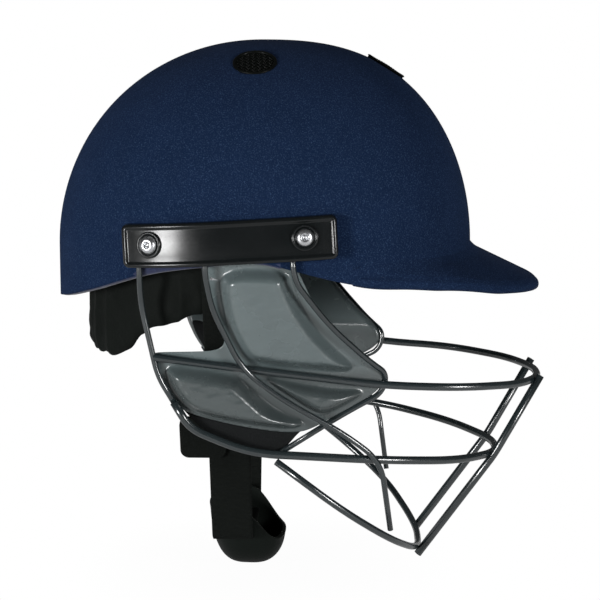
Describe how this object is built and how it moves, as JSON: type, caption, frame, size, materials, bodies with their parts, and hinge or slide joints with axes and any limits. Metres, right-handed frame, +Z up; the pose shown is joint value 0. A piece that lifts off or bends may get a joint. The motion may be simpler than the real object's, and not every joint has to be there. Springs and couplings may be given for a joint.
{
  "type": "cricket helmet",
  "caption": "Batting helmet with a cloth-covered peaked shell, wire face guard, moulded ear pads, padded lining and an elastic chin strap with a chin cup.",
  "frame": {"origin": "where the crown of the wearer's head meets the crown pad, on the middle plane", "axes": "+X to the wearer's front, +Y to the wearer's left, +Z up"},
  "size_m": [0.2861, 0.2286, 0.3144],
  "materials": {
    "cloth": "matt navy cloth, slightly felted",
    "shell": "moulded plastic, plain inside",
    "binding": "grey edge tape",
    "foam": "closed cell foam",
    "lining": "black towelling over foam",
    "leatherette": "black leatherette, creased",
    "grille": "black ring with a mesh",
    "plate": "gloss black",
    "coated_steel": "satin black powder coat",
    "zinc": "bright zinc plate",
    "washer": "gloss black",
    "pad": "moulded foam, dark grey satin skin",
    "elastic": "black ribbed elastic",
    "cup": "black moulded leather"
  },
  "bodies": {
    "helmet": {"outer_shell": "shell", "cloth_cover": "cloth", "rim_binding": "binding", "foam_liner": "foam", "crown_pad": "lining", "brow_pad": "lining", "nape_pad": "leatherette", "temple_pad_left": "lining", "temple_pad_right": "lining", "vent_grille_left": "grille", "vent_grille_right": "grille", "vent_grille_front": "grille", "side_plate_left": "plate", "side_plate_right": "plate", "guard_bracket_left": "coated_steel", "guard_bracket_right": "coated_steel", "cup_washers": "washer", "guard_screws": "zinc", "tee_nuts": "zinc", "hanger_rivets": "zinc", "strap_hanger_left": "zinc", "strap_hanger_right": "zinc", "strap_pivots": "zinc", "ear_pad_left": "pad", "ear_pad_right": "pad", "guard_lower_ring": "coated_steel", "guard_upper_ring": "coated_steel", "guard_chin_wire": "coated_steel", "guard_rear_wire_left": "coated_steel", "guard_rear_wire_right": "coated_steel", "guard_middle_wire_left": "coated_steel", "guard_middle_wire_right": "coated_steel", "guard_front_wire_left": "coated_steel", "guard_front_wire_right": "coated_steel", "guard_bar_left": "coated_steel", "guard_bar_right": "coated_steel"},
    "chin_strap": {"chin_strap": "elastic", "strap_tab": "elastic"},
    "chin_cup": {"chin_cup": "cup"}
  },
  "joints": [
    {"name": "strap_swing", "type": "hinge", "parent": "helmet", "child": "chin_strap", "pos_m": [-0.019, 0, -0.1025], "axis": [0, 1, 0], "range_deg": [-25, 16]},
    {"name": "cup_shift", "type": "slide", "parent": "chin_strap", "child": "chin_cup", "axis": [0, 1, 0], "range_m": [-0.005, 0.005]}
  ]
}
